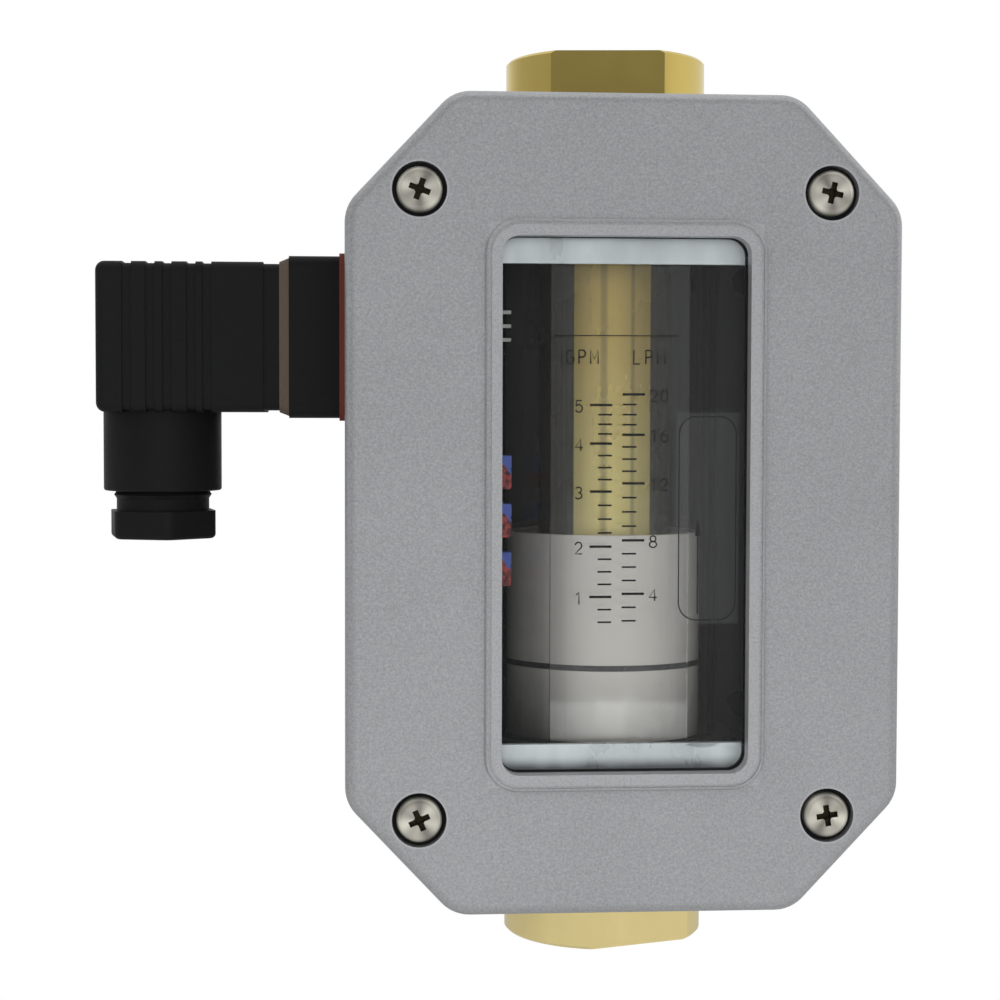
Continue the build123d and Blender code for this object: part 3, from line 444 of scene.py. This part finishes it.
def solid_clear(name, tint, haze_share, *piece_names):
    acrylic = Finish(name, tint, roughness=0.02, IOR=1.49, Transmission_Weight=1.0)
    through = acrylic.node("ShaderNodeBsdfTransparent", {"Color": (*tint, 1.0)})
    haze = acrylic.node("ShaderNodeBsdfDiffuse", {"Color": haze_grey})
    front = (0 - acrylic.place("Y")).rise(-strip_front - 0.2 * MM, -strip_front - 0.05 * MM)
    body = acrylic.node("ShaderNodeMixShader", [front * haze_share, acrylic.surface, haze])
    straight = acrylic.path("Is Shadow Ray", "Is Diffuse Ray")
    acrylic.show(acrylic.node("ShaderNodeMixShader", [straight, body, through]))
    dress(acrylic, *piece_names)


thin_clear("window_glass", (0.96, 0.965, 0.965), 0.25, "window_pane")

# %% [markdown]
# ## Smooth sight tube
# The CAD tube has flat facets, which refraction would show as stripes. The same wall, spun in 240
# steps and shaded smooth, takes its place. An edge split keeps its ends flat.

# %% sight tube
tube_shape = bmesh.new()
wall_outline = [
    tube_shape.verts.new((radius, 0, z))
    for radius, z in (
        (tube_radius, tube_low.z), (tube_radius, tube_high.z),
        (tube_radius - tube_wall, tube_high.z), (tube_radius - tube_wall, tube_low.z),
    )
]
next_corners = wall_outline[1:] + wall_outline[:1]
wall_edges = [tube_shape.edges.new(pair) for pair in zip(wall_outline, next_corners)]
spin_steps = 240
bmesh.ops.spin(tube_shape, geom=wall_outline + wall_edges, cent=(0, 0, 0), axis=(0, 0, 1),
               angle=2 * math.pi, steps=spin_steps, use_merge=True)
bmesh.ops.recalc_face_normals(tube_shape, faces=tube_shape.faces)
for face in tube_shape.faces:
    face.smooth = abs(face.normal.z) < 0.5


def add_piece(name, shape):
    mesh = bpy.data.meshes.new(name)
    shape.to_mesh(mesh)
    shape.free()
    piece = bpy.data.objects.new(name, mesh)
    bpy.context.scene.collection.objects.link(piece)
    return piece


clear_tube = add_piece("clear_tube", tube_shape)
clear_tube.modifiers.new("flat_ends", "EDGE_SPLIT").split_angle = math.radians(40)
solid_clear("tube_acrylic", (0.96, 0.96, 0.955), 0.010, "clear_tube", "sight_strip")
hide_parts("sight_tube")
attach(clear_tube, "meter")
print("tube faces", len(clear_tube.data.polygons))

# %% [markdown]
# ## Printed scale
# Plain ink on the back of the pane: two scales of flow with their units, and an upward arrow in a
# rounded frame. A pen line is a curve with a round bevel, pressed flat once it is a mesh. Each figure
# is a few such lines in a box of its own, as an engraver's stencil would have them.


# %% figures
def arc(cx, cy, rx, ry, start, end, steps=14):
    """Points of an ellipse's arc, in degrees."""
    turns = [math.radians(start + (end - start) * k / steps) for k in range(steps + 1)]
    return [(cx + rx * math.cos(t), cy + ry * math.sin(t)) for t in turns]


figures = {
    "0": [arc(0.36, 0.5, 0.32, 0.5, 0, 360, 28)],
    "1": [[(0.14, 0.80), (0.42, 1.0), (0.42, 0.0)]],
    "2": [arc(0.35, 0.70, 0.31, 0.30, 170, -35) + [(0.03, 0.0), (0.70, 0.0)]],
    "3": [arc(0.33, 0.76, 0.29, 0.24, 150, -90) + arc(0.33, 0.26, 0.33, 0.26, 90, -150)],
    "4": [[(0.54, 0.0), (0.54, 1.0), (0.02, 0.30), (0.76, 0.30)]],
    "5": [[(0.62, 1.0), (0.12, 1.0), (0.07, 0.54)] + arc(0.34, 0.33, 0.34, 0.33, 140, -150)],
    "6": [arc(0.36, 0.32, 0.32, 0.32, 180, 540, 26),
          [(0.04, 0.32), (0.10, 0.66), (0.28, 0.92), (0.55, 1.0)]],
    "8": [arc(0.36, 0.76, 0.27, 0.24, -90, 270, 24), arc(0.36, 0.26, 0.34, 0.26, 90, 450, 24)],
    "G": [arc(0.42, 0.5, 0.38, 0.5, 50, 330, 24) + [(0.75, 0.45), (0.46, 0.45)]],
    "P": [[(0.08, 0.0), (0.08, 1.0), (0.40, 1.0)] + arc(0.42, 0.745, 0.27, 0.255, 90, -90)
          + [(0.08, 0.49)]],
    "M": [[(0.04, 0.0), (0.04, 1.0), (0.40, 0.35), (0.76, 1.0), (0.76, 0.0)]],
    "L": [[(0.08, 1.0), (0.08, 0.0), (0.66, 0.0)]],
}
stencil_width = 0.72

# %% [markdown]
# ## Pens
# An engraver works through one pen width after another. Lines are therefore collected by the width of
# their pen, in millimetres on the pane, and made into ink all at once further on.

# %% pens
pens = {}


def draw(pen, *points):
    """Ask for an ink line through points in millimetres, drawn later with all lines of that pen."""
    pens.setdefault(pen, []).append(points)


def write(words, x, z, height, width, pen, advance):
    """Figures side by side, with their lower left corner at x and z."""
    for place, figure in enumerate(words):
        left = x + place * advance
        for line in figures[figure]:
            draw(pen, *[(left + px * width / stencil_width, z + pz * height) for px, pz in line])


# %% [markdown]
# ## Two scales
# The left scale counts in one unit of flow and the right one in another. Only the heights of the
# numbered lines are given, because the flow doesn't rise evenly with the follower. The short lines
# divide each step evenly.

# %% two scales
major_pen, minor_pen, figure_pen, unit_pen, rule_pen = 0.52, 0.37, 0.30, 0.30, 0.22
figure_height, figure_width, figure_advance = 2.1, 1.36, 1.95
left_scale = {
    "figures": [("5", 101.91), ("4", 94.95), ("3", 86.28), ("2", 76.30), ("1", 67.17)],
    "major": (-5.98, -1.96), "minor": (-4.49, -1.96), "lowest": 62.57, "text_x": -8.66,
}
right_scale = {
    "figures": [("20", 103.84), ("16", 96.55), ("12", 87.76), ("8", 77.43), ("4", 67.72)],
    "major": (-0.08, 4.01), "minor": (-0.08, 2.52), "lowest": 62.81, "text_x": 4.93,
}


def draw_scale(scale):
    marks = scale["figures"]
    for words, z in marks:
        draw(major_pen, *[(x, z) for x in scale["major"]])
        foot = z - figure_height * 0.62
        write(words, scale["text_x"], foot, figure_height, figure_width, figure_pen, figure_advance)
    for (_, upper), (_, lower) in zip(marks, marks[1:]):
        for part in (1, 2, 3):
            draw(minor_pen, *[(x, upper + (lower - upper) * part / 4) for x in scale["minor"]])
    last = marks[-1][1]
    for part in (1, 2):
        draw(minor_pen, *[(x, last + (scale["lowest"] - last) * part / 2) for x in scale["minor"]])


draw_scale(left_scale)
draw_scale(right_scale)
rule_left, rule_right, rule_z = -12.55, 10.14, 114.4
draw(rule_pen, (rule_left, rule_z), (rule_right, rule_z))
unit_height, unit_width, unit_advance, unit_z = 2.45, 1.35, 2.2, 109.33
write("GPM", -10.37, unit_z, unit_height, unit_width, unit_pen, unit_advance)
write("LPM", 1.78, unit_z, unit_height, unit_width, unit_pen, unit_advance)

# %% [markdown]
# ## Arrow in its rounded frame
# The arrow shows which way the flow runs. Its frame is a rectangle with four round corners, drawn as
# one closed line of four arcs.

# %% arrow in its rounded frame
frame_pen, arrow_pen = 0.26, 0.24
frame_left, frame_right, frame_bottom, frame_top, frame_corner = 10.3, 20.77, 62.9, 99.9, 3.2
inner_left, inner_right = frame_left + frame_corner, frame_right - frame_corner
inner_bottom, inner_top = frame_bottom + frame_corner, frame_top - frame_corner
outline = arc(inner_right, inner_top, frame_corner, frame_corner, 0, 90, 8)
outline += arc(inner_left, inner_top, frame_corner, frame_corner, 90, 180, 8)
outline += arc(inner_left, inner_bottom, frame_corner, frame_corner, 180, 270, 8)
outline += arc(inner_right, inner_bottom, frame_corner, frame_corner, 270, 360, 8)
draw(frame_pen, *outline, outline[0])
arrow_x, arrow_low, arrow_high, arrow_head = 13.8, 64.0, 81.2, 3.0
draw(arrow_pen, (arrow_x, arrow_low), (arrow_x, arrow_high - arrow_head))

# %% [markdown]
# ## Ink on the pane
# Printed ink has a thickness, if a tiny one. Curves with a round bevel make every line with round
# joints and ends, a cone makes the arrow's head, and scaling them flat along Y turns them into ink.


# %% ink on the pane
def pen_mesh(lines, width):
    """Mesh of round-bevelled curves through the lines' points."""
    curve = bpy.data.curves.new("pen", "CURVE")
    curve.dimensions = "3D"
    curve.bevel_depth = width / 2 * MM
    curve.bevel_resolution = 1
    curve.use_fill_caps = True
    for line in lines:
        spline = curve.splines.new("POLY")
        spline.points.add(len(line) - 1)
        for point, (x, z) in zip(spline.points, line):
            point.co = (x * MM, 0, z * MM, 1)
    holder = bpy.data.objects.new("pen", curve)
    mesh = bpy.data.meshes.new_from_object(holder)
    bpy.data.objects.remove(holder)
    return mesh


ink_shape = bmesh.new()
for pen, lines in pens.items():
    ink_shape.from_mesh(pen_mesh(lines, pen))
bmesh.ops.create_cone(
    ink_shape, segments=16, radius1=0.55 * MM, radius2=0, depth=arrow_head * MM, cap_ends=True,
    matrix=Matrix.Translation((arrow_x * MM, 0, (arrow_high - arrow_head / 2) * MM)),
)
ink_flattening, ink_gap = 0.04, 0.02 * MM
bmesh.ops.scale(ink_shape, vec=(1, ink_flattening, 1), verts=ink_shape.verts)
bmesh.ops.translate(ink_shape, vec=(0, pane_back + ink_gap, 0), verts=ink_shape.verts)
scale_print = add_piece("scale_print", ink_shape)
moulded("ink", (0.006, 0.006, 0.006), 0.6, "scale_print", grain=4000, gloss=0.1)
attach(scale_print, "meter")
print("ink faces", len(scale_print.data.polygons))

# %% [markdown]
# ## Film that carries the arrow
# The arrow's frame is printed on a clear film stuck to the pane. The film is slightly hazy, and only
# that haze makes its black print show before the dark inside. It is a sheet a few hundredths thick.

# %% arrow film
film_shape = bmesh.new()
film_margin = Vector((0.5, 0, 0.7)) * MM
film_low = Vector((frame_left, 0, frame_bottom)) * MM - film_margin
film_high = Vector((frame_right, 0, frame_top)) * MM + film_margin
film_thickness = 0.03 * MM
film_size = Vector((film_high.x - film_low.x, film_thickness, film_high.z - film_low.z))
film_middle = (film_low + film_high) / 2 + Vector((0, pane_back + 3 * ink_gap, 0))
bmesh.ops.create_cube(film_shape, size=1.0)
bmesh.ops.scale(film_shape, vec=film_size, verts=film_shape.verts)
bmesh.ops.translate(film_shape, vec=film_middle, verts=film_shape.verts)
arrow_film = add_piece("arrow_film", film_shape)
film = Finish("hazy_film", (0.6, 0.6, 0.62), roughness=0.5)
clear = film.node("ShaderNodeBsdfTransparent")
cloudy_film = film.noise(300, detail=2.0)
film.show(film.node("ShaderNodeMixShader", [cloudy_film * 0.01 + 0.017, clear, film.surface]))
dress(film, "arrow_film")
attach(arrow_film, "meter")

# %% [markdown]
# ## Studio
# The floor and the room are plain white to the camera. Polished metal and glass see a white room too,
# but it is dim above the table on the camera's side, and a little on the left, as in a studio where
# the camera stands in the dark: that gives the upper brass its darker flat. Two dark gaps beside the
# camera keep the clear tube from mirroring white. Diffuse rays see a plain grey room, and four wide
# soft panels, which the metal doesn't mirror, do the rest.

# %% floor
floor_half_size, floor_z = 4.0, -0.12
floor_shape = bmesh.new()
bmesh.ops.create_grid(floor_shape, x_segments=1, y_segments=1, size=floor_half_size)
bmesh.ops.translate(floor_shape, vec=(0, 0, floor_z), verts=floor_shape.verts)
floor = add_piece("floor", floor_shape)
floor_paint = Finish("floor_paint", (0.75, 0.75, 0.75), roughness=0.8)
white = floor_paint.node("ShaderNodeEmission")
seen = floor_paint.path("Is Camera Ray")
floor_paint.show(floor_paint.node("ShaderNodeMixShader", [seen, floor_paint.surface, white]))
dress(floor_paint, "floor")

# %% room
world = bpy.data.worlds.new("studio")
bpy.context.scene.world = world
world.use_nodes = True
room = Tree(world.node_tree)
diffuse_light, front_dim, left_dim, gap_dim = 0.5, 0.66, 0.45, 0.7
direction = room.node("ShaderNodeTexCoord", out="Generated")
forwards = 0 - room.node("ShaderNodeSeparateXYZ", [direction], out="Y")
leftwards = 0 - room.node("ShaderNodeSeparateXYZ", [direction], out="X")
above = room.node("ShaderNodeSeparateXYZ", [direction], out="Z").rise(-0.23, -0.07)
gaps = forwards.band(0.48, 0.85, 0.06) * gap_dim
mirror_light = 1 - above * (forwards.rise(0.25, 0.95) * front_dim + leftwards.rise(0.3, 0.9) * left_dim)
mirror_light = mirror_light * (1 - gaps)
mirrored = room.path("Is Glossy Ray", "Is Transmission Ray")
lit = mirror_light * mirrored + diffuse_light * (1 - mirrored)
seen = room.path("Is Camera Ray")
brightness = seen + lit * (1 - seen)
backdrop = room.node("ShaderNodeBackground", {"Strength": brightness, "Color": (1, 1, 1, 1)})
room.feed(room.tree.nodes.new("ShaderNodeOutputWorld").inputs["Surface"], backdrop)


# %% soft panels
def panel(name, place, width, height, power):
    light = bpy.data.lights.new(name, "AREA")
    light.shape = "RECTANGLE"
    light.size = width
    light.size_y = height
    light.energy = power
    lamp = bpy.data.objects.new(name, light)
    aim = Vector((0, 0, middle_z)) - Vector(place)
    lamp.matrix_world = Matrix.Translation(place) @ aim.to_track_quat("-Z", "Y").to_matrix().to_4x4()
    lamp.visible_glossy = False
    lamp.visible_transmission = False
    bpy.context.scene.collection.objects.link(lamp)


panel("left_panel", (-0.62, -0.62, 0.30), 1.5, 1.2, 2.6)
panel("right_panel", (0.70, -0.50, 0.15), 1.5, 1.2, 2.9)
panel("front_panel", (0.05, -1.20, 0.05), 0.8, 0.6, 6.0)
panel("top_panel", (0.0, -0.30, 0.95), 1.5, 0.9, 4.0)

# %% [markdown]
# ## Camera
# Matching known sizes with where they appear in the photograph gives its place: 400 mm from the
# meter, a little to the left and just above the middle, behind a 74 mm lens.

# %% camera
camera_azimuth, camera_elevation, camera_roll = map(math.radians, (-4.264, 2.460, 0.129))
camera_place = Vector((-49.593, -395.204, 100.582)) * MM
back = Vector((
    math.sin(camera_azimuth) * math.cos(camera_elevation),
    -math.cos(camera_azimuth) * math.cos(camera_elevation),
    math.sin(camera_elevation),
))
level = Vector((0, 0, 1)).cross(back).normalized()
upright = back.cross(level)
right = level * math.cos(camera_roll) + upright * math.sin(camera_roll)
up = upright * math.cos(camera_roll) - level * math.sin(camera_roll)
camera_data = bpy.data.cameras.new("camera")
camera_data.sensor_width = 36.0
camera_data.lens = 73.617
camera_data.clip_start = 0.01
camera = bpy.data.objects.new("camera", camera_data)
bpy.context.scene.collection.objects.link(camera)
camera.matrix_world = Matrix.Translation(camera_place) @ Matrix((right, up, back)).transposed().to_4x4()
bpy.context.scene.camera = camera

# %% [markdown]
# ## View and light paths
# The Standard view shows a colour as it is written. Light that reaches the follower crosses the pane,
# the strip and two walls of the tube, each with a front and a back, so it needs many bounces.

# %% view settings
scene = bpy.context.scene
scene.view_settings.view_transform = "Standard"
scene.cycles.max_bounces = 16
scene.cycles.transparent_max_bounces = 16
scene.cycles.transmission_bounces = 12
scene.cycles.use_denoising = True
